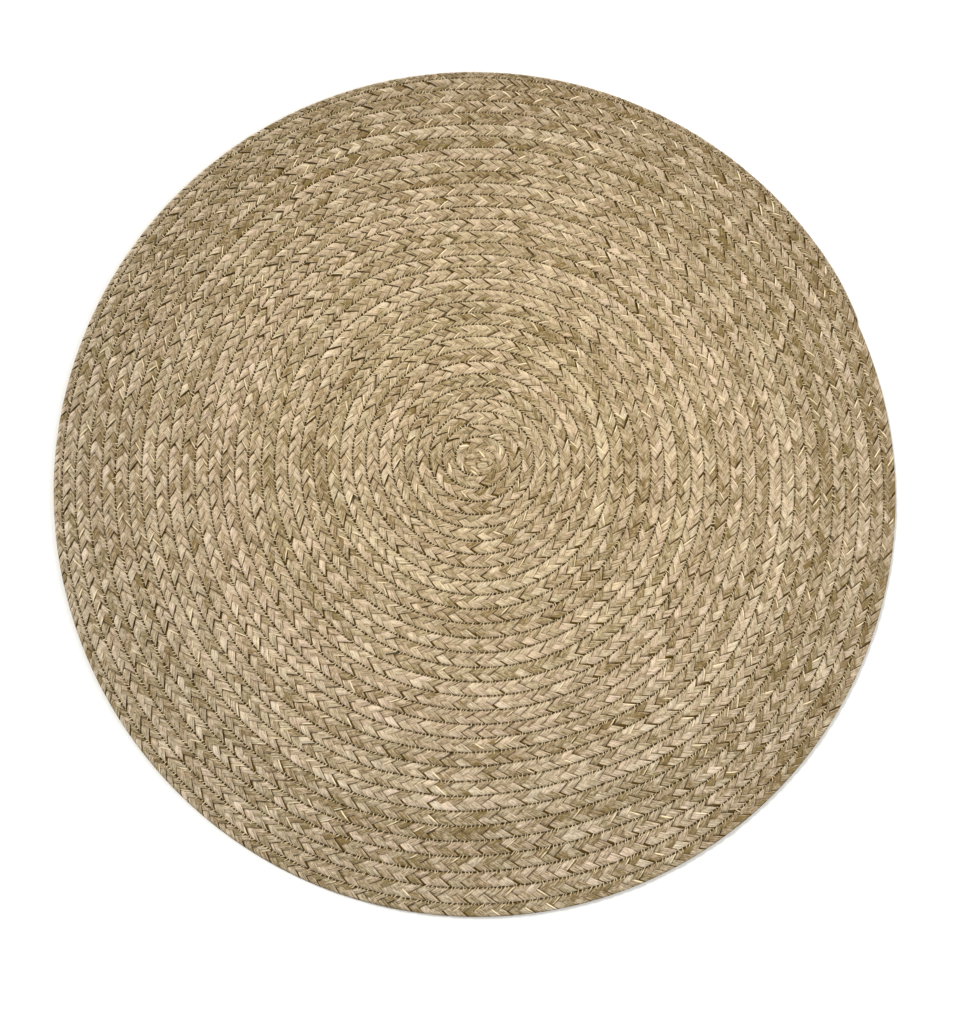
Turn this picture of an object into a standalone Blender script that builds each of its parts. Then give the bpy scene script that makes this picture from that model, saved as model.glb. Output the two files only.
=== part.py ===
"""Round rug: one long flat plait wound into a flat coil and sewn edge to edge.

The wound, sewn rug is one flat piece, so it is one solid disc, lying on its flat underside at
z = 0. Its outline is the outer edge of the coil's last turn. The plait is worked narrower over
that turn, and its end is tapered and tucked against the turn inside it, so the outline drifts
outward by about a third of a row and steps back in at the tail. Made by hand, the coil is a
little longer than it is wide.
"""

import math

import bmesh
import bpy

DIAMETER = 1.200  # mean width across the outline
THICKNESS = 0.0074  # two to three crossed leaf strips
OUT_OF_ROUND = 0.0115  # how much longer the coil is along Y, and shorter along X
WHOLE_TURNS = 31  # from the centre to the start of the last turn
LAST_ROW_SHARE = 0.38  # the last row's width at the tail, as a share of a full row
TAIL_ANGLE = math.radians(20)  # where the tail ends, counterclockwise from +X seen from above
TAIL_TAPER = math.radians(12)  # length of the taper that closes the tail
EDGE_ROUND = 0.0034  # radius of the folded edge's round
EDGE_STEPS = 4
SIDES = 240

# The seam that the last turn is sewn to starts this many rows out, at the tail.
ROWS_TO_TAIL = WHOLE_TURNS - TAIL_ANGLE / (2 * math.pi)
ROW = DIAMETER / 2 / (ROWS_TO_TAIL + 1 + LAST_ROW_SHARE / 2)

NODE = "plaited_coil"


def outline_radius(angle):
    """Radius of the rug's edge: the last turn's inner seam plus the plait's width there."""
    # The plait runs clockwise outward, so the last turn is measured back from the tail.
    turned = 1 - ((angle - TAIL_ANGLE) % (2 * math.pi)) / (2 * math.pi)
    width = 1 - (1 - LAST_ROW_SHARE) * turned
    to_tail = (1 - turned) * 2 * math.pi
    if to_tail < TAIL_TAPER:
        width *= math.sin(math.pi / 2 * to_tail / TAIL_TAPER) ** 0.8
    return ROW * (ROWS_TO_TAIL + turned + width) * (1 - OUT_OF_ROUND * math.cos(2 * angle))


def outline():
    """Points of the edge, centred on their own box so that the part's origin is its middle."""
    angles = [2 * math.pi * side / SIDES for side in range(SIDES)]
    xs = [outline_radius(angle) * math.cos(angle) for angle in angles]
    ys = [outline_radius(angle) * math.sin(angle) for angle in angles]
    middle_x = (min(xs) + max(xs)) / 2
    middle_y = (min(ys) + max(ys)) / 2
    return [(x - middle_x, y - middle_y, 0.0) for x, y in zip(xs, ys)]


def coil_mesh():
    """The outline raised to the plait's thickness, with the folded edge's round on its rim."""
    bm = bmesh.new()
    underside = bm.faces.new([bm.verts.new(point) for point in outline()])
    raised = bmesh.ops.extrude_face_region(bm, geom=[underside])
    top = [item for item in raised["geom"] if isinstance(item, bmesh.types.BMFace)]
    bmesh.ops.translate(bm, verts=top[0].verts[:], vec=(0.0, 0.0, THICKNESS))
    rim = list(top[0].edges) + list(underside.edges)
    bmesh.ops.bevel(
        bm, geom=rim, offset=EDGE_ROUND, offset_type="OFFSET", segments=EDGE_STEPS, profile=0.5,
        affect="EDGES", clamp_overlap=False,
    )
    flat = [face for face in bm.faces if len(face.verts) == SIDES]
    bmesh.ops.poke(bm, faces=flat)
    bmesh.ops.recalc_face_normals(bm, faces=bm.faces)
    mesh = bpy.data.meshes.new(NODE)
    bm.to_mesh(mesh)
    bm.free()
    return mesh


def dried_leaf():
    material = bpy.data.materials.new("dried_leaf")
    material.use_nodes = True
    shader = material.node_tree.nodes["Principled BSDF"]
    shader.inputs["Base Color"].default_value = (0.47, 0.36, 0.20, 1.0)
    shader.inputs["Roughness"].default_value = 0.62
    shader.inputs["Metallic"].default_value = 0.0
    return material


for existing in list(bpy.context.scene.objects):
    bpy.data.objects.remove(existing, do_unlink=True)

coil = bpy.data.objects.new(NODE, coil_mesh())
coil.data.materials.append(dried_leaf())
coil.data.shade_smooth()
coil.data.set_sharp_from_angle(angle=math.radians(35))
bpy.context.scene.collection.objects.link(coil)
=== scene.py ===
"""Round rug of plaited dry leaf strips.

One flat three-strand plait, about 62 m long, is wound outward into a flat coil, clockwise as
seen from above, and each turn is sewn to the turn inside it with a light yarn. Lengths are in
metres. Distances across the coil are counted in rows, and places along it in turns.
"""
import math

import bpy
import numpy as np
from mathutils import Matrix, Vector


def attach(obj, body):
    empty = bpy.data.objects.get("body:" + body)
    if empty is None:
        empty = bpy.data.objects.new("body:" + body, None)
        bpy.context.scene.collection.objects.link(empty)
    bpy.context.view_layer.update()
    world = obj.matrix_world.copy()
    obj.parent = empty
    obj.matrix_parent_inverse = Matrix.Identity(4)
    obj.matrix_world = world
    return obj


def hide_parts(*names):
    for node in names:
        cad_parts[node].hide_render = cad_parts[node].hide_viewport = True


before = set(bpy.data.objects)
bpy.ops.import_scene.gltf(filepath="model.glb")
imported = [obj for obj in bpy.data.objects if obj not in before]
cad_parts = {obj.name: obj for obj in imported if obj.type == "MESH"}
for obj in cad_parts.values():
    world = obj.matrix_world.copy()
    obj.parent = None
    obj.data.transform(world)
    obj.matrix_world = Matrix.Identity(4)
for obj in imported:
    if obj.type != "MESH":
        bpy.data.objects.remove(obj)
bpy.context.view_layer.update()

# --------------------------------------------------------------------------------------------
# The plait: three strands of flattened dry leaf, folded over at both edges of the row and laid
# over and under one another, so that each row shows two columns of slanting leaf folds. The
# strands are not kept clear of one another, and cut into each other in places.
# --------------------------------------------------------------------------------------------

TURNS_TO_TAIL = 31 - 20 / 360  # how far out the last turn is sewn on, at the tail
TAIL_SHARE = 0.38  # the last row's width at the tail, as a share of a full row
TAIL_TAPER = 12 / 360  # length of the taper that closes the tail, in turns
OUT_OF_ROUND = 0.0115
MEAN_RADIUS = 0.600
ROW = MEAN_RADIUS / (TURNS_TO_TAIL + 1 + TAIL_SHARE / 2)  # width of one row
FIRST_TURN = 0.30  # where the plait starts, counted at its outer edge
LAST_TURN = TURNS_TO_TAIL + 2 - 0.002  # where its tail is closed
RIM_ROWS = 32  # rows from the centre to the rim, rounded
MIDDLE_Z = 0.0037  # half the plait's thickness
FLOOR_GAP = 0.0002  # the leaves' least height above the floor
PETAL = 0.95 * ROW  # length of row that one leaf fold takes up
PETALS_ACROSS = 1.5  # folds that a strand passes on its way from one edge to the other
BUNDLE = 60  # folds over which the tone of a bundle of leaves drifts to the next one's

rng = np.random.default_rng(41)


def smooth(low, high, x):
    """0 below low, 1 above high, and between them an S: 3 t squared less 2 t cubed."""
    t = np.clip((x - low) / (high - low), 0, 1)
    return t * t * (3 - 2 * t)


def hump(angle, rise, top, end, fall):
    """1 between the angles top and end, in degrees, rising from rise and gone at fall."""
    a = np.degrees(angle) % 360
    return smooth(rise, top, a) * (1 - smooth(end, fall, a))


def sway(rows, angle):
    """How far the rows stray outward from a true spiral, in rows.

    The outer rows bulge at the upper left and at the upper right and are drawn in at the
    bottom, each by a smooth hump over angle and row; the rim itself is even.
    """
    upper_left = 0.42 * smooth(13, 17, rows) * hump(angle, 100, 114, 128, 172)
    bottom = smooth(18, 23, rows) * (
        0.28 * hump(angle, 214, 234, 246, 262)
        - 0.30 * hump(angle, 262, 278, 288, 304)
        + 0.26 * hump(angle, 300, 312, 320, 340)
    )
    upper_right = 0.32 * smooth(22, 27, rows) * hump(angle, 34, 46, 60, 78)
    trued = 1 - smooth(27.5, 31.9, rows)
    return (upper_left + bottom + upper_right) * trued


def plan(rows, angle):
    """Where a point so many rows from the centre, at that angle, lies on the floor.

    It is a polar plan, out of round towards the rim, with the sway added to the radius. The
    coil starts as a short hairpin a little off centre, so the innermost rows are pulled apart
    along X and moved, by lengths that fade outward.
    """
    strayed = rows + sway(rows, angle)
    radius = ROW * strayed * (1 - OUT_OF_ROUND * (rows / RIM_ROWS) ** 2 * np.cos(2 * angle))
    x, y = radius * np.cos(angle), radius * np.sin(angle)
    hairpin = 0.27 * ROW * (1 - smooth(1.5, 9, rows))
    off_centre = ROW * (1 - smooth(9, 17, rows))
    return x + hairpin * x / np.hypot(x, 0.5 * ROW) - 0.17 * off_centre, y + 0.30 * off_centre


def row_width(turn):
    """The plait's width in rows: full, then narrowing over the last turn to its closed tail."""
    narrowing = np.clip(turn - 1 - TURNS_TO_TAIL, 0, 1)
    to_tail = np.clip((1 - narrowing) / TAIL_TAPER, 0, 1)
    closing = np.sin(math.pi / 2 * to_tail) ** 0.8
    return (1 - (1 - TAIL_SHARE) * narrowing) * np.maximum(closing, 0.06)


def box_middle():
    """Middle of the coil's own outline, which is the part's origin."""
    turns = TURNS_TO_TAIL + np.arange(240) / 240
    rim = turns + row_width(turns + 1)
    x, y = plan(rim, -2 * math.pi * turns)
    return (x.min() + x.max()) / 2, (y.min() + y.max()) / 2


middle_x, middle_y = box_middle()

# Length along the plait's middle, and folds passed, against the turn they are at.
turn_table = np.linspace(FIRST_TURN, LAST_TURN, 40001)
inner_table = np.maximum(turn_table - 1, 0)
centre_table = inner_table + np.minimum(turn_table, 1) * row_width(turn_table) / 2
centre_x, centre_y = plan(centre_table, -2 * math.pi * turn_table)
steps = np.hypot(np.diff(centre_x), np.diff(centre_y))
petal_steps = steps / (PETAL * np.maximum(row_width(turn_table[1:]), 0.3))
petal_table = np.concatenate([[0], np.cumsum(petal_steps)])
petal_total = petal_table[-1]
bundle_tone = rng.normal(0, 1, int(petal_total / BUNDLE) + 2)

# Seams: how far along the seam, in stitches, against the turn it lies at.
STITCH = 0.0050
seam_turns = np.linspace(0.35, TURNS_TO_TAIL + 1 - 0.01, 60001)
seam_x, seam_y = plan(seam_turns, -2 * math.pi * seam_turns)
seam_table = np.concatenate([[0], np.cumsum(np.hypot(np.diff(seam_x), np.diff(seam_y)))]) / STITCH

# A leaf strip from edge to edge: over the strips that cross it for the first part of the way
# and under them for the rest. Each row of the table is one step: the share of that part, 1
# where it is over or -1 where it is under, and how much shade is painted into its colour, most
# in the grooves at the folds.
STEPS = np.array([
    (0.00, 1, 0.75), (0.07, 1, 0.42), (0.20, 1, 0.06), (0.42, 1, 0.0), (0.68, 1, 0.0), (0.90, 1, 0.12),
    (0.00, -1, 0.35), (0.30, -1, 0.0), (0.72, -1, 0.0),
])
# Across the strip, from its back edge to its front edge: place, height in the inner half of the
# row, height in the outer half, and how much shade is painted into the colour there: at the foot
# of the back edge and along the front edge, which lie in shade. The back edge lies on the strip
# before it, and stands up more in the outer half; the front edge goes under the next strip.
PROFILE = np.array([
    (-1.00, 0.22, 0.30, 0.90), (-0.95, 0.78, 0.98, 0.0), (-0.62, 0.96, 1.08, 0.0), (-0.14, 1.00, 1.02, 0.0),
    (0.44, 0.88, 0.85, 0.0), (0.67, 0.70, 0.60, 0.95), (1.00, 0.10, 0.05, 1.0),
])
OVER_HEIGHT = 0.0034
LEAF_WIDTH = 0.0104  # of the leaf's map; the strip itself lies 11.6 to 12.0 mm wide
MAP_STEP = 0.013  # from one strip to the next across the leaf's map
ZIGZAG = 1.22  # a strand's length for each length of plait
BEND = 0.03  # how much more squarely a strip leaves the edge than it crosses the middle
MIDDLE_LINE = -0.02  # where the two columns of folds meet, in rows from the middle
SHINGLE = 0.0008  # about half the height from a row's inner edge up to its outer edge


def shingle(place):
    """Height of a row by place across it, -0.5 to 0.5: it climbs outward, then drops at the seam."""
    return SHINGLE * (2 * place - 2 * smooth(0.38, 0.5, place))


def strand(first_petal):
    """One of the three strands, as grids of points and of what its material reads.

    A strand is a zigzag: while it crosses the row once it moves on by 1.5 folds, slowly at both
    edges. Height is the profile across the strip times a skewed sine along its over part or its
    under part, so it is nothing at the folds and where the strips change places.
    """
    crossings = int((petal_total - first_petal - 1.2) / PETALS_ACROSS)
    k = np.arange(crossings)[:, None, None]
    share = STEPS[:, 0][None, :, None]
    over = STEPS[:, 1][None, :, None]
    across = PROFILE[:, 0][None, None, :]
    # Odd crossings start at the outer edge, so they are the folds of the outer half.
    outer_half = (k % 2 == 1).astype(float)

    def scatter(spread):
        return rng.normal(0, spread, (crossings, 1, 1)).clip(-2.2 * spread, 2.2 * spread)

    half = 0.57 + 0.02 * outer_half + scatter(0.035)  # half width along the row, in folds
    shift = scatter(0.075)
    change = 0.5 - across * half / (3 * (1 + BEND)) + scatter(0.02)
    travel = np.where(over > 0, share * change, change + share * (1 - change))
    advance = travel - BEND * np.sin(2 * math.pi * travel) / (2 * math.pi)
    # A shift must be the same on both sides of a fold, so it eases from one crossing's to the next's.
    following = np.concatenate([shift[1:], shift[-1:]])
    petal = first_petal + PETALS_ACROSS * (k + advance) + across * half
    petal = petal + shift + (following - shift) * smooth(0.6, 1.0, travel)
    petal = petal.clip(0, petal_total)

    # A few strips have their back edge rolled up, so that the pale inside of the leaf shows.
    chosen = rng.random((crossings, 1, 1)) < 0.12 - 0.05 * outer_half
    rolled = chosen * rng.uniform(0.55, 1, (crossings, 1, 1))
    roll_from = rng.uniform(-0.3, 0.25, (crossings, 1, 1))
    roll_to = roll_from + rng.uniform(0.65, 1.1, (crossings, 1, 1))
    along_roll = smooth(roll_from, roll_from + 0.2, share) * (1 - smooth(roll_to - 0.2, roll_to, share))
    rolled = rolled * np.where(over > 0, along_roll, 0)

    bow = share ** 1.25
    rise = over * np.sin(math.pi * bow) ** 0.45
    rise = np.where(share == 0, 0, rise)
    crown = PROFILE[:, 1] + (PROFILE[:, 2] - PROFILE[:, 1]) * outer_half
    crown = crown + np.where(across == -0.95, 0.30 * rolled, 0)
    lift = (1 + scatter(0.08)) * (crown + scatter(0.09) * across)
    turn = np.interp(petal, petal_table, turn_table)
    width = row_width(turn)
    height = OVER_HEIGHT * rise * lift * np.minimum(1, (width / 0.7) ** 0.5)

    side = 1 - 2 * outer_half
    place = side * (travel - 0.5)  # -0.5 at the inner edge of the row, 0.5 at the outer edge
    place = place + MIDDLE_LINE * np.cos(math.pi * place)
    inner = np.maximum(turn - 1, 0)
    outer = inner + np.minimum(turn, 1) * width
    rows = inner + (outer - inner) * (place + 0.5) + scatter(0.014) * np.sin(math.pi * travel)
    angle = -2 * math.pi * turn
    x, y = plan(rows, angle)
    z = np.maximum(MIDDLE_Z + height + shingle(place), FLOOR_GAP)
    points = np.stack([x - middle_x, y - middle_y, z], -1)

    # One leaf serves for about 18 crossings on average, and the tone of its bundle drifts over
    # about a metre of the plait.
    leaf = np.cumsum(rng.random(crossings) < 0.055)
    leaf_tone = rng.normal(0, 1, leaf.max() + 1)[leaf][:, None, None]
    leaf_hue = rng.normal(0, 1, leaf.max() + 1)[leaf][:, None, None]
    bundle = np.interp(petal, BUNDLE * np.arange(len(bundle_tone)), bundle_tone)
    # Leaves are lightest about nine rows out and duller towards the rim. They are greyest at the
    # rim. Across the rug a painted light colour makes them warmer towards the upper right and greyer
    # towards the lower left.
    tone = 0.6 * leaf_tone + scatter(1.0) + 0.75 * bundle - 0.4
    tone = tone + 0.7 * smooth(0, 9, turn) - 1.5 * smooth(8, 33, turn)
    hue = 0.7 * leaf_hue + scatter(0.65)
    greying_and_painted_tint = 0.40 - 0.30 * rows / RIM_ROWS + 0.92 * (rows / RIM_ROWS) ** 2
    # Painted light colour: warmer towards the upper right, cooler and greyer towards the lower left.
    greying_and_painted_tint = greying_and_painted_tint - 0.28 * rows / RIM_ROWS * np.cos(angle - 1.32)
    greying_and_painted_tint = greying_and_painted_tint + 0.06 * leaf_hue + scatter(0.07)
    split = rng.uniform(-0.75, 0.6, (crossings, 1, 1))
    # Painted shade: the colour is darkened where the strip lies in shade, in the grooves at the folds,
    # under the next strip's edge and at the foot of its own back edge, more in the outer half.
    painted_shade = 1 - (1 - STEPS[:, 2][None, :, None]) * (1 - PROFILE[:, 3] * (0.60 + 0.40 * outer_half))
    flat = np.ones_like(petal)
    look = np.stack([tone * flat, hue * flat, split * flat, painted_shade * flat], -1)
    pale = np.stack([rolled * np.where(across < -0.9, 1, 0), outer_half * flat, greying_and_painted_tint * flat, flat], -1)

    # Along the leaf, in metres: each crossing of the row is longer than its advance.
    along = (k + travel) * PETALS_ACROSS * PETAL * ZIGZAG + first_petal
    leaf_map = np.stack([along * flat, (across * LEAF_WIDTH / 2 + k % 7 * MAP_STEP) * flat], -1)
    nearest = np.where(place > 0, turn, turn - 1)
    to_seam = (0.5 - np.abs(place)) * width * ROW
    stitch = np.interp(nearest, seam_turns, seam_table)
    no_seam = (nearest > TURNS_TO_TAIL + 1) | (nearest < 0.4)
    seam_map = np.stack([stitch, np.where(no_seam, 0.01, to_seam)], -1)
    merged = (-1, len(PROFILE))
    return {
        "points": points.reshape(*merged, 3),
        "look": look.reshape(*merged, 4),
        "pale": pale.reshape(*merged, 4),
        "leaf": leaf_map.reshape(*merged, 2),
        "seam": seam_map.reshape(*merged, 2),
        "petal": petal[:, :, 3].reshape(-1),
    }


def beginning():
    """Ends of the first leaves, folded down over the start of the coil, laid in a ring.

    Each is a lens on its own grid, u along it and v across, both -1 to 1. Its taper is the root
    of 1 - u squared, which scales its width. Its height falls from the top by 1.7 mm times
    (1 - (1 - v squared) times the taper), and by 2.2 mm more at its rim. The ends cut into the
    strands under them.
    """
    along_count, across_count = 9, 7
    # Place in rows from the middle, length and width in rows, turn in degrees, top in mm.
    ends = np.array([
        (-0.05, -0.12, 3.3, 2.3, -6, 5.0), (-1.22, 0.20, 0.80, 0.55, 62, 5.6),
        (-1.15, -0.42, 1.05, 0.55, -52, 5.8), (1.02, -0.52, 1.05, 0.62, 58, 5.9),
        (0.92, 0.22, 0.95, 0.60, -50, 6.2), (0.38, 0.46, 1.20, 0.66, -32, 6.8),
        (-0.42, 0.22, 1.60, 0.62, 9, 7.2), (-0.62, -0.36, 1.15, 0.52, -8, 6.9),
        (-0.25, -0.84, 1.25, 0.55, -40, 6.7), (0.55, -1.00, 1.10, 0.55, 24, 6.5),
        (0.58, -0.06, 1.35, 0.46, -4, 7.4), (0.28, -0.54, 1.15, 0.74, 4, 8.0),
        (-0.15, 0.66, 1.20, 0.50, 14, 6.6), (0.24, 0.37, 0.85, 0.20, -52, 8.2),
        (1.62, 0.55, 0.80, 0.20, 86, 8.6), (-0.42, -1.00, 0.85, 0.20, -38, 7.6),
        (-1.10, 0.98, 0.85, 0.24, 8, 8.6), (-2.15, -0.70, 0.95, 0.20, -72, 8.6),
    ])
    u = np.linspace(-1, 1, along_count)[None, :, None]
    v = np.linspace(-1, 1, across_count)[None, None, :]
    middle_rows = ends[:, :2] * ROW
    size = ends[:, 2:4] * ROW / 2
    turned = np.radians(ends[:, 4])[:, None, None]
    top = ends[:, 5][:, None, None] / 1000
    taper = np.sqrt(np.maximum(1 - u ** 2, 0.004))
    a = size[:, 0][:, None, None] * u + 0 * v
    b = size[:, 1][:, None, None] * v * taper
    x, y = plan(0.0, 0.0)
    x = x + middle_rows[:, 0][:, None, None] + a * np.cos(turned) - b * np.sin(turned)
    y = y + middle_rows[:, 1][:, None, None] + a * np.sin(turned) + b * np.cos(turned)
    z = top - 0.0017 * (1 - (1 - v ** 2) * taper) - 0.0022 * np.maximum(np.abs(v) == 1, np.abs(u) == 1)
    points = np.stack([x - middle_x, y - middle_y, z], -1)
    count = len(ends)
    flat = np.ones_like(x)
    tone = rng.normal(0.1, 1.2, count)[:, None, None]
    hue = rng.normal(-0.2, 0.9, count)[:, None, None]
    sliver = (ends[:, 3] < 0.3)[:, None, None]  # the narrow ones are rolled up, pale side out
    # Painted shade: each end is darkened towards its rim and its tips, where it lies in shade, less on the
    # narrow rolled ones.
    painted_shade = np.clip(1.1 * np.abs(v) ** 2.6 + 0.5 * (np.abs(u) > 0.7), 0, 0.95) * np.where(sliver, 0.3, 1)
    look = np.stack([tone * flat, hue * flat, 0.4 * flat, painted_shade * flat], -1)
    pale = np.stack([0.8 * sliver * flat, flat, 0.32 * flat, flat], -1)
    number = np.arange(count)[:, None, None]
    leaf_map = np.stack([a + 0.05 * number, b + MAP_STEP * number], -1)
    seam_map = np.stack([0 * flat, 0.01 * flat], -1)
    one = grid_faces(along_count, across_count, 0)
    points_each = along_count * across_count
    faces = (one[None] + points_each * np.arange(count)[:, None, None]).reshape(-1, 4)
    return (
        points.reshape(-1, 3), faces, look.reshape(-1, 4), pale.reshape(-1, 4),
        leaf_map.reshape(-1, 2), seam_map.reshape(-1, 2),
    )


def grid_faces(rows, columns, start):
    """Quads of a grid of points, numbered row by row from start."""
    row = np.arange(rows - 1)[:, None]
    column = np.arange(columns - 1)[None, :]
    corner = (start + row * columns + column).reshape(-1)
    return np.stack([corner, corner + 1, corner + columns + 1, corner + columns], -1)


def mesh_piece(name, points, faces, material):
    """A piece of the rug from arrays of points and quads, shaded smooth, riding on the rug."""
    mesh = bpy.data.meshes.new(name)
    mesh.vertices.add(len(points))
    mesh.vertices.foreach_set("co", points.astype(np.float32).ravel())
    mesh.loops.add(faces.size)
    mesh.loops.foreach_set("vertex_index", faces.astype(np.int32).ravel())
    mesh.polygons.add(len(faces))
    mesh.polygons.foreach_set("loop_start", np.arange(0, faces.size, faces.shape[1], dtype=np.int32))
    mesh.update(calc_edges=True)
    mesh.validate()
    mesh.shade_smooth()
    mesh.materials.append(material)
    piece = bpy.data.objects.new(name, mesh)
    bpy.context.scene.collection.objects.link(piece)
    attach(piece, "root")
    return piece


def linear(colour):
    """A colour written as sRGB hex, as linear red, green, blue and alpha."""
    parts = [int(colour[i:i + 2], 16) / 255 for i in (1, 3, 5)]
    return [c / 12.92 if c <= 0.04045 else ((c + 0.055) / 1.055) ** 2.4 for c in parts] + [1.0]


def add(tree, kind, values=(), **settings):
    """Adds a node. values maps an input's name or number to a number, a colour or a socket."""
    node = tree.nodes.new(kind)
    for key, value in settings.items():
        setattr(node, key, value)
    for key, value in dict(values).items():
        if isinstance(value, bpy.types.NodeSocket):
            tree.links.new(value, node.inputs[key])
        else:
            node.inputs[key].default_value = value
    return node


def dry_leaf():
    """Flattened dry leaf: matt, straw coloured, finely ribbed lengthwise, with shade painted dark brown
    into its creases and grooves.

    Tone and hue change from leaf to leaf. Ribs are about 1.7 mm wide, so that they show.
    """
    material = bpy.data.materials.new("dry_leaf")
    material.use_nodes = True
    tree = material.node_tree
    shader = tree.nodes["Principled BSDF"]

    def maths(operation, a, b=0.0, c=0.0, clamp=False):
        node = add(tree, "ShaderNodeMath", {0: a, 1: b, 2: c}, operation=operation, use_clamp=clamp)
        return node.outputs[0]

    def spread(value, low, high, to_low=0.0, to_high=1.0):
        values = {"Value": value, "From Min": low, "From Max": high, "To Min": to_low, "To Max": to_high}
        return add(tree, "ShaderNodeMapRange", values, interpolation_type="SMOOTHSTEP").outputs[0]

    def mix(share, a, b, blend="MIX"):
        node = add(tree, "ShaderNodeMix", {0: share, 6: a, 7: b}, data_type="RGBA", blend_type=blend)
        return node.outputs[2]

    look = add(tree, "ShaderNodeAttribute", attribute_name="look")
    parts = add(tree, "ShaderNodeSeparateColor", {0: look.outputs["Color"]})
    tone, hue, split = parts.outputs
    painted_shade = look.outputs["Alpha"]
    edge = add(tree, "ShaderNodeAttribute", attribute_name="pale").outputs["Color"]
    rolled, outer_half, greying_and_painted_tint = add(tree, "ShaderNodeSeparateColor", {0: edge}).outputs
    leaf_map = add(tree, "ShaderNodeUVMap", uv_map="leaf").outputs[0]
    seam_map = add(tree, "ShaderNodeUVMap", uv_map="seam").outputs[0]

    # Ribs: noise drawn out along the leaf, 16 mm long by 1.7 mm wide, and cracks 20 mm by 1.2 mm.
    def drawn_out(along, across, detail):
        stretched = add(tree, "ShaderNodeMapping", {0: leaf_map, 3: (1 / along, 1 / across, 1)}).outputs[0]
        noise = add(tree, "ShaderNodeTexNoise", {"Vector": stretched, "Scale": 1.0, "Detail": detail})
        return noise.outputs[0]

    ribs = drawn_out(0.016, 0.0017, 2.0)
    crack = spread(drawn_out(0.020, 0.0012, 0.0), 0.26, 0.36, 1.0, 0.0)
    blotch = drawn_out(0.010, 0.006, 2.0)
    speckle = drawn_out(0.0045, 0.0013, 2.0)

    # A strand shows as two leaves side by side, with a step between them at the split.
    leaf_y = add(tree, "ShaderNodeSeparateXYZ", {0: leaf_map}).outputs[1]
    across = maths("MULTIPLY", maths("WRAP", leaf_y, MAP_STEP / 2, -MAP_STEP / 2), 2 / LEAF_WIDTH)
    from_split = maths("SUBTRACT", across, split)
    line = maths("SUBTRACT", 1.0, spread(maths("ABSOLUTE", from_split), 0.0, 0.17))
    step = spread(from_split, -0.06, 0.06)

    light = maths("MULTIPLY_ADD", tone, 0.115, 0.50)
    light = maths("MULTIPLY_ADD", outer_half, 0.05, light)
    light = maths("MULTIPLY_ADD", maths("SUBTRACT", ribs, 0.5), 0.65, light)
    light = maths("MULTIPLY_ADD", maths("SUBTRACT", blotch, 0.5), 0.7, light)
    light = maths("MULTIPLY_ADD", maths("SUBTRACT", speckle, 0.5), 1.6, light)
    light = maths("MULTIPLY_ADD", maths("SUBTRACT", step, 0.5), 0.16, light)
    light = maths("MULTIPLY_ADD", crack, -0.24, light)
    # Painted highlight: paler along the back edge, which stands up and catches the light.
    back_edge_highlight = spread(across, -0.78, -0.95)
    light = maths("MULTIPLY_ADD", back_edge_highlight, 0.36, light)
    light = maths("MULTIPLY_ADD", line, -0.09, light, clamp=True)
    straw = mix(light, linear("#816A38"), linear("#E9D1AA"))
    greyed = mix(light, linear("#7D6A44"), linear("#E3D1B9"))
    tint = mix(spread(hue, -2.0, 2.0), linear("#FBFFFE"), linear("#FFFBFC"))
    body = mix(1.0, mix(greying_and_painted_tint, straw, greyed), tint, "MULTIPLY")
    body = mix(maths("MULTIPLY", spread(rolled, 0.12, 0.35), 0.85), body, linear("#FDEBC4"))
    # Painted shade: the colour goes towards dark brown in the creases and grooves, where the leaves lie in
    # shade.
    shaded = mix(spread(painted_shade, 0.05, 0.85), body, linear("#5C4617"))

    # Needle holes: painted shade, dark brown spots along the seam, one to a stitch, for the shadow in
    # the holes and in the groove between stitches. They fade out around a radius of 0.7 to 2.7 mm, with a
    # ragged edge.
    seam = add(tree, "ShaderNodeSeparateXYZ", {0: seam_map}).outputs
    number = maths("FLOOR", seam[0])
    chance = add(tree, "ShaderNodeTexWhiteNoise", {"W": number}, noise_dimensions="1D").outputs[0]
    shifted = maths("ADD", number, 0.37)
    other = add(tree, "ShaderNodeTexWhiteNoise", {"W": shifted}, noise_dimensions="1D").outputs[0]
    centre = maths("MULTIPLY_ADD", other, 0.56, 0.22)
    along = maths("MULTIPLY", maths("SUBTRACT", maths("FRACT", seam[0]), centre), STITCH)
    deeper = maths("MULTIPLY", seam[1], 1.3)
    radius = maths("MULTIPLY_ADD", chance, 0.0020, 0.0007)
    away = maths("SQRT", maths("ADD", maths("POWER", along, 2.0), maths("POWER", deeper, 2.0)))
    object_place = add(tree, "ShaderNodeTexCoord").outputs["Object"]
    ragged = add(tree, "ShaderNodeTexNoise", {"Vector": object_place, "Scale": 520.0, "Detail": 1.0})
    away = maths("MULTIPLY_ADD", maths("SUBTRACT", ragged.outputs[0], 0.5), 0.0040, away)
    hole = maths("SUBTRACT", 1.0, spread(maths("DIVIDE", away, radius), 0.35, 1.25))
    hole = maths("MULTIPLY", hole, maths("MULTIPLY_ADD", other, 0.55, 0.45))
    # Painted shade in the needle holes.
    colour = mix(hole, shaded, linear("#4A2F02"))

    relief = maths("MULTIPLY_ADD", line, -0.45, ribs)
    relief = maths("MULTIPLY_ADD", step, 0.3, relief)
    relief = maths("MULTIPLY_ADD", crack, -0.3, relief)
    relief = maths("MULTIPLY_ADD", hole, -1.0, relief)
    bump = add(tree, "ShaderNodeBump", {"Height": relief, "Distance": 0.0008, "Strength": 0.9}).outputs[0]
    tree.links.new(colour, shader.inputs["Base Color"])
    tree.links.new(bump, shader.inputs["Normal"])
    shader.inputs["Roughness"].default_value = 0.58
    shader.inputs["Specular IOR Level"].default_value = 0.0
    return material


leaf_material = dry_leaf()
strands = [strand(first) for first in (0.0, 1.0, 2.0)]
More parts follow.
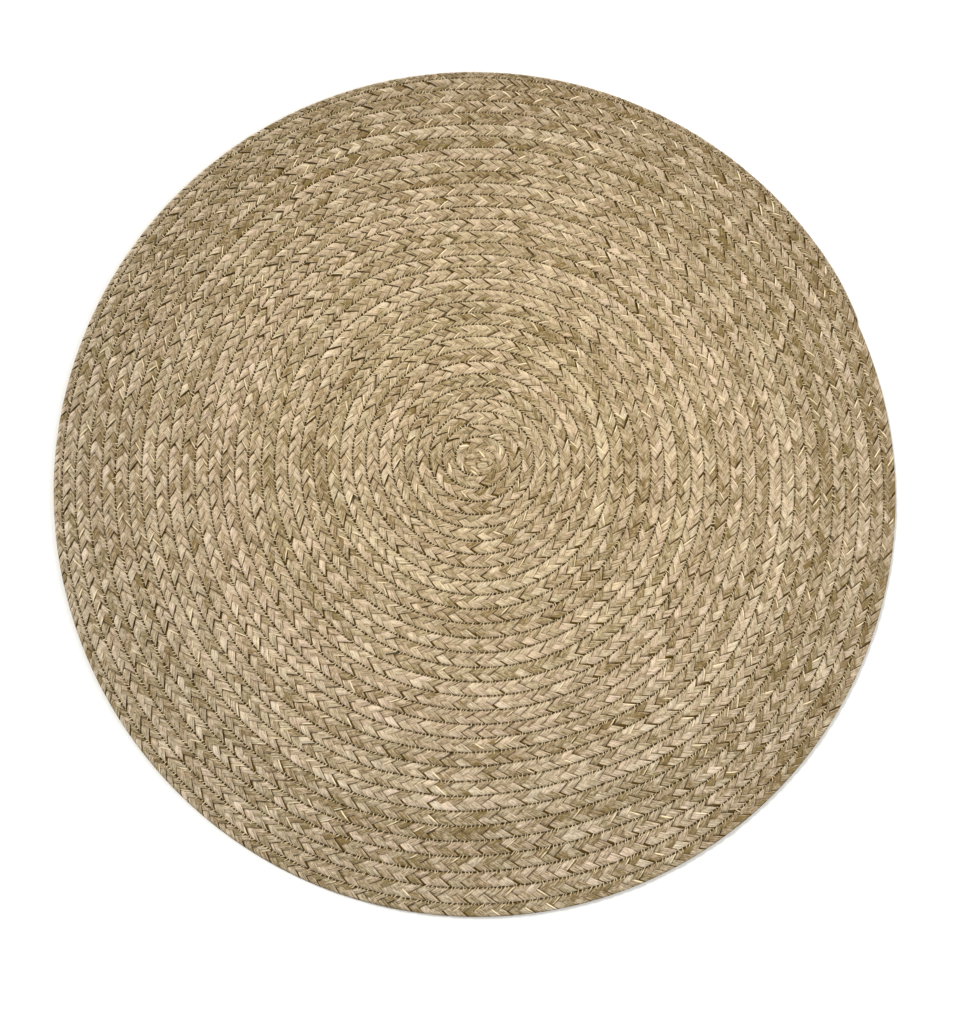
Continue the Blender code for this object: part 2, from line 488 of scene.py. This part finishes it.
# The plait is cut at equal numbers of folds, to keep each piece under 200,000 triangles.
names = ["plait_start", "plait_inner", "plait_middle", "plait_outer", "plait_rim"]
cuts = petal_total * np.arange(len(names) + 1) / len(names)
cuts[0], cuts[-1] = -1, petal_total + 1
for name, low, high in zip(names, cuts[:-1], cuts[1:]):
    points, faces, look, pale, leaf_uv, seam_uv = [], [], [], [], [], []
    start = 0
    for one in strands:
        inside = np.flatnonzero((one["petal"] >= low) & (one["petal"] < high))
        first, last = inside[0], min(inside[-1] + 2, len(one["petal"]))
        points.append(one["points"][first:last].reshape(-1, 3))
        look.append(one["look"][first:last].reshape(-1, 4))
        pale.append(one["pale"][first:last].reshape(-1, 4))
        leaf_uv.append(one["leaf"][first:last].reshape(-1, 2))
        seam_uv.append(one["seam"][first:last].reshape(-1, 2))
        faces.append(grid_faces(last - first, len(PROFILE), start))
        start += (last - first) * len(PROFILE)
    if name == "plait_start":
        for stack, values in zip((points, faces, look, pale, leaf_uv, seam_uv), beginning()):
            stack.append(values + start if stack is faces else values)
    piece = mesh_piece(name, np.concatenate(points), np.concatenate(faces), leaf_material)
    corners = np.empty(len(piece.data.loops), np.int32)
    piece.data.loops.foreach_get("vertex_index", corners)
    for layer, values in (("leaf", leaf_uv), ("seam", seam_uv)):
        uv = piece.data.uv_layers.new(name=layer)
        uv.uv.foreach_set("vector", np.concatenate(values)[corners].astype(np.float32).ravel())
    for layer, values in (("look", look), ("pale", pale)):
        attribute = piece.data.attributes.new(layer, "FLOAT_COLOR", "POINT")
        attribute.data.foreach_set("color", np.concatenate(values).astype(np.float32).ravel())
    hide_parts("plaited_coil")

# --------------------------------------------------------------------------------------------
# The sewing: a light yarn that catches the edges of two neighbouring rows, with one short
# slanting loop every 5 mm across the groove between them and a flat run underneath.
# --------------------------------------------------------------------------------------------

YARN = 0.0013  # each loop is 0.5 to 0.95 of this thick


def sewing_yarn():
    """Soft light yarn, finely flecked."""
    material = bpy.data.materials.new("sewing_yarn")
    material.use_nodes = True
    tree = material.node_tree
    shader = tree.nodes["Principled BSDF"]
    place = add(tree, "ShaderNodeTexCoord").outputs["Object"]
    fleck = add(tree, "ShaderNodeTexNoise", {"Vector": place, "Scale": 300.0, "Detail": 1.0}).outputs[0]
    shades = {0: fleck, 6: linear("#C6AE7F"), 7: linear("#F2E2BC")}
    ramp = add(tree, "ShaderNodeMix", shades, data_type="RGBA")
    tree.links.new(ramp.outputs[2], shader.inputs["Base Color"])
    shader.inputs["Roughness"].default_value = 0.75
    return material


def stitches():
    """Loops as little tents, three points across the yarn and four along it, and their runs below.

    A loop crosses the seam at a slant. Its middle line is as high as a leaf fold's skewed sine
    at that distance from the seam, on the row's own slope, plus 0.3 of its thickness and a
    random part. Its sides are
    half a thickness lower, and its ends 0.7 mm lower, so they go down into the leaves. A run is
    1.0 mm up at its middle and 1.8 mm at its ends.
    """
    loop_points = 4 * 3
    run_points = 3 * 2
    count = int(seam_table[-1])
    where = np.interp(np.arange(count) + rng.normal(0, 0.20, count), seam_table, seam_turns)
    ahead = where + 0.0002
    x, y = plan(where, -2 * math.pi * where)
    ax, ay = plan(ahead, -2 * math.pi * ahead)
    tangent = np.stack([ax - x, ay - y], -1)
    tangent /= np.linalg.norm(tangent, axis=1)[:, None]
    outward = np.stack([-tangent[:, 1], tangent[:, 0]], -1)
    slant = rng.normal(0.45, 0.45, count)
    run = outward + tangent * slant[:, None]
    run /= np.linalg.norm(run, axis=1)[:, None]
    beside = np.stack([-run[:, 1], run[:, 0]], -1)
    reach = rng.uniform(0.0017, 0.0040, count)[:, None, None]
    thick = YARN * rng.uniform(0.5, 0.95, count)[:, None, None]
    drawn = rng.normal(0, 0.0006, count)[:, None, None]
    s = np.array([-1, -0.45, 0.45, 1])[None, :, None]
    q = np.array([-1, 0, 1])[None, None, :]
    centre = np.stack([x - middle_x, y - middle_y], -1)
    flat = centre[:, None, None, :] + run[:, None, None, :] * (s * reach)[..., None]
    flat = flat + beside[:, None, None, :] * (q * thick / 2)[..., None]
    cosine = np.sum(run * outward, axis=1)[:, None, None]
    from_seam = s * reach * cosine / ROW
    fold = OVER_HEIGHT * np.sin(math.pi * np.clip(2 * np.abs(from_seam), 0.02, 1) ** 1.25) ** 0.45
    z = MIDDLE_Z + fold + shingle(np.where(from_seam < 0, 0.5 + from_seam, from_seam - 0.5))
    z = z + drawn + 0.3 * thick - np.abs(q) * thick / 2 - np.where(np.abs(s) == 1, 0.0007, 0)
    upper = np.concatenate([flat, z[..., None]], -1)
    one = grid_faces(4, 3, 0)[:, ::-1]  # turned over, so that loops face up
    upper_faces = (one[None] + loop_points * np.arange(count)[:, None, None]).reshape(-1, 4)

    # Underneath, a plain flat run of yarn along the seam, three points by two.
    ahead_run = tangent + outward * rng.normal(0, 0.25, count)[:, None]
    s = np.array([-1, 0, 1])[None, :, None]
    q = np.array([-1, 1])[None, None, :]
    side = np.stack([-ahead_run[:, 1], ahead_run[:, 0]], -1)
    flat = centre[:, None, None, :] + ahead_run[:, None, None, :] * (s * 0.42 * STITCH)[..., None]
    flat = flat + side[:, None, None, :] * (q * thick / 2)[..., None]
    z = 0.0010 + 0.0008 * np.abs(s) + 0 * q + 0 * thick
    lower = np.concatenate([flat, z[..., None]], -1)
    one = grid_faces(3, 2, loop_points * count)
    lower_faces = (one[None] + run_points * np.arange(count)[:, None, None]).reshape(-1, 4)
    points = np.concatenate([upper.reshape(-1, 3), lower.reshape(-1, 3)])
    return points, np.concatenate([upper_faces, lower_faces])


yarn_material = sewing_yarn()
points, faces = stitches()
mesh_piece("seam_stitches", points, faces, yarn_material)

# --------------------------------------------------------------------------------------------
# The floor, the light and the camera: a wide pale floor, a soft key lamp from the upper left, a
# weak fill and an even white world, seen from almost straight above.
# --------------------------------------------------------------------------------------------

FLOOR_HALF = 6.0  # half the floor's side


def pale_floor():
    """Smooth matt floor, near white."""
    material = bpy.data.materials.new("pale_floor")
    material.use_nodes = True
    shader = material.node_tree.nodes["Principled BSDF"]
    shader.inputs["Base Color"].default_value = linear("#F4F3F0")
    shader.inputs["Roughness"].default_value = 0.9
    return material


corners = np.array([(-1, -1), (1, -1), (1, 1), (-1, 1)]) * FLOOR_HALF
floor_mesh = bpy.data.meshes.new("floor")
floor_mesh.from_pydata([(x, y, 0.0) for x, y in corners], [], [(0, 1, 2, 3)])
floor_mesh.materials.append(pale_floor())
floor = bpy.data.objects.new("floor", floor_mesh)
bpy.context.scene.collection.objects.link(floor)


def aim(thing, place, at):
    """Stands a lamp or the camera at a place, looking at a point, with +Y up in its picture."""
    back = (Vector(place) - Vector(at)).normalized()
    right = Vector((0, 1, 0)).cross(back).normalized()
    above = back.cross(right)
    turn = Matrix((right, above, back)).transposed().to_4x4()
    thing.matrix_world = Matrix.Translation(place) @ turn


def lamp(name, place, width, watts, colour):
    """A round area lamp that looks at the rug's middle."""
    light = bpy.data.lights.new(name, "AREA")
    light.shape = "DISK"
    light.size = width
    light.energy = watts
    light.color = linear(colour)[:3]
    thing = bpy.data.objects.new(name, light)
    bpy.context.scene.collection.objects.link(thing)
    aim(thing, place, (0, 0, 0))


lamp("key", (-5.2, 4.8, 7.0), 2.6, 800, "#FFFDFA")
lamp("fill", (2.3, -0.9, 1.9), 1.6, 40, "#FFFEFC")

world = bpy.data.worlds.new("studio")
world.use_nodes = True
world.node_tree.nodes["Background"].inputs[0].default_value = (1, 1, 1, 1)
world.node_tree.nodes["Background"].inputs[1].default_value = 0.46
bpy.context.scene.world = world
bpy.context.scene.view_settings.view_transform = "Standard"

SENSOR = 36.0
IMAGE_HEIGHT = 1024
FOCAL = 1025.6  # focal length, in the units of IMAGE_HEIGHT
EYE = (-0.0409, -0.3333, 1.4106)  # from the coil's centre, as is the point it looks at
LOOKED_AT = (0.0022, -0.0691, 0)
camera_data = bpy.data.cameras.new("camera")
camera_data.sensor_width = SENSOR
camera_data.lens = SENSOR * FOCAL / IMAGE_HEIGHT
camera = bpy.data.objects.new("camera", camera_data)
bpy.context.scene.collection.objects.link(camera)
aim(
    camera,
    (EYE[0] - middle_x, EYE[1] - middle_y, EYE[2]),
    (LOOKED_AT[0] - middle_x, LOOKED_AT[1] - middle_y, LOOKED_AT[2]),
)
bpy.context.scene.camera = camera
